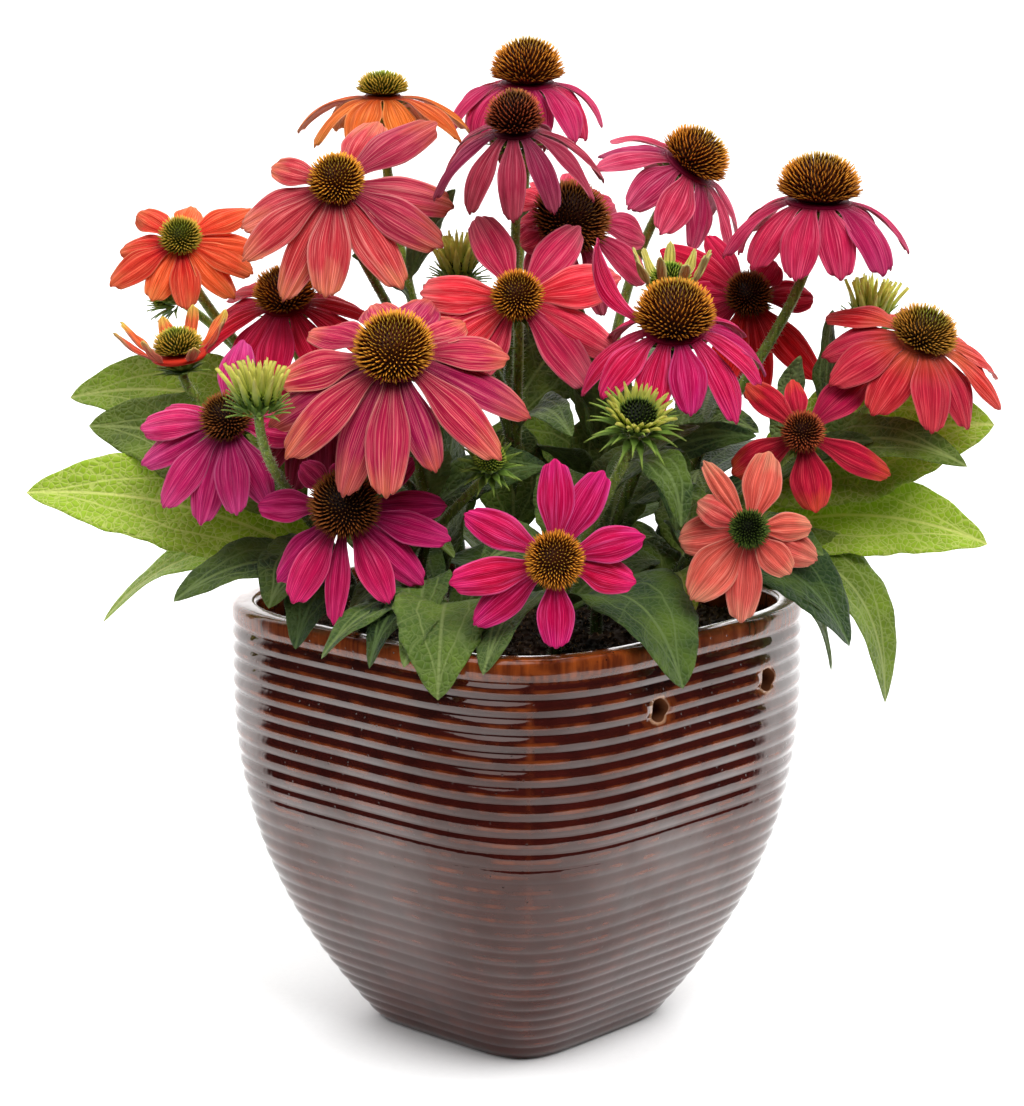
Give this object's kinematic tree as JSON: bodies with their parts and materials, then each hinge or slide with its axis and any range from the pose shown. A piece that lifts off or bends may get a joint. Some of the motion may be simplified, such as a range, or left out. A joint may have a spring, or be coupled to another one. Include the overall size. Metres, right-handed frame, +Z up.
{
  "type": "potted purple coneflower plant",
  "caption": "Purple coneflower plant in a ribbed, glazed square-shouldered pot, with magenta, rose, coral and orange daisy blooms on spiny cones above broad leaves.",
  "frame": {"origin": "centre of the pot's flat underside", "axes": "+Z up along the pot's axis; a viewer who faces the plant looks along +Y, with a rounded corner of the pot towards them; +X is to the viewer's right"},
  "size_m": [0.369, 0.2626, 0.38],
  "materials": {
    "glaze": "glossy oxblood-brown glaze with rust-coloured edges",
    "compost": "rough and crumbly, damp dark brown",
    "leaf_green": "matt leaf surface with a net of paler veins and short hairs",
    "petal_rose": "satin petal with long fine ribs, rose red, paler at the edges",
    "petal_coral": "satin petal with long fine ribs, coral with salmon edges",
    "petal_orange": "satin petal with long fine ribs, orange with yellow tips",
    "petal_ember": "satin petal with long fine ribs, orange-red with yellow tips",
    "petal_crimson": "satin petal with long fine ribs, deep crimson",
    "petal_scarlet": "satin petal with long fine ribs, scarlet",
    "petal_magenta": "satin petal with long fine ribs, strong magenta-pink",
    "petal_purple": "satin petal with long fine ribs, purple-magenta",
    "petal_dusk": "satin petal with long fine ribs, dusky rose",
    "petal_plum": "satin petal with long fine ribs, faded plum",
    "petal_straw": "waxy straw-yellow young rays round a green cone",
    "cone_bronze": "dark maroon with orange-bronze spine tips",
    "cone_gold": "dark brown with golden-orange spine tips",
    "cone_wine": "wine red spines",
    "cone_umber": "dark umber spines",
    "cone_moss": "mossy green-brown with orange tips",
    "cone_lime": "lime green with brown tips",
    "cone_green": "deep green spines"
  },
  "bodies": {
    "root": {"pot": "glaze", "compost": "compost", "leafy_stem_01": "leaf_green", "leafy_stem_02": "leaf_green", "leafy_stem_03": "leaf_green", "leafy_stem_04": "leaf_green", "leafy_stem_05": "leaf_green", "leafy_stem_06": "leaf_green", "leafy_stem_07": "leaf_green", "leafy_stem_08": "leaf_green", "leafy_stem_09": "leaf_green", "leafy_stem_10": "leaf_green", "leafy_stem_11": "leaf_green", "leafy_stem_12": "leaf_green", "leafy_stem_13": "leaf_green", "leafy_stem_14": "leaf_green", "bloom_01_petals": "petal_dusk", "bloom_01_cone": "cone_bronze", "bloom_02_petals": "petal_plum", "bloom_02_cone": "cone_wine", "bloom_03_petals": "petal_orange", "bloom_03_cone": "cone_lime", "bloom_04_petals": "petal_coral", "bloom_04_cone": "cone_gold", "bloom_05_petals": "petal_orange", "bloom_05_cone": "cone_lime", "bloom_06_petals": "petal_ember", "bloom_06_cone": "cone_lime", "bloom_07_petals": "petal_crimson", "bloom_07_cone": "cone_bronze", "bloom_08_petals": "petal_rose", "bloom_08_cone": "cone_gold", "bloom_09_petals": "petal_rose", "bloom_09_cone": "cone_bronze", "bloom_10_petals": "petal_rose", "bloom_10_cone": "cone_umber", "bloom_11_petals": "petal_dusk", "bloom_11_cone": "cone_bronze", "bloom_12_petals": "petal_magenta", "bloom_12_cone": "cone_bronze", "bloom_13_petals": "petal_magenta", "bloom_13_cone": "cone_bronze", "bloom_15_petals": "petal_crimson", "bloom_15_cone": "cone_umber", "bloom_16_petals": "petal_scarlet", "bloom_16_cone": "cone_moss", "bloom_18_petals": "petal_crimson", "bloom_18_cone": "cone_umber", "bloom_19_petals": "petal_coral", "bloom_19_cone": "cone_green", "bloom_20_petals": "petal_magenta", "bloom_20_cone": "cone_bronze", "bloom_21_petals": "petal_purple", "bloom_21_cone": "cone_umber", "bloom_22_petals": "petal_purple", "bloom_22_cone": "cone_bronze", "bloom_24_petals": "petal_crimson", "bloom_24_cone": "cone_umber", "young_bloom_14": "petal_straw"}
  },
  "joints": []
}
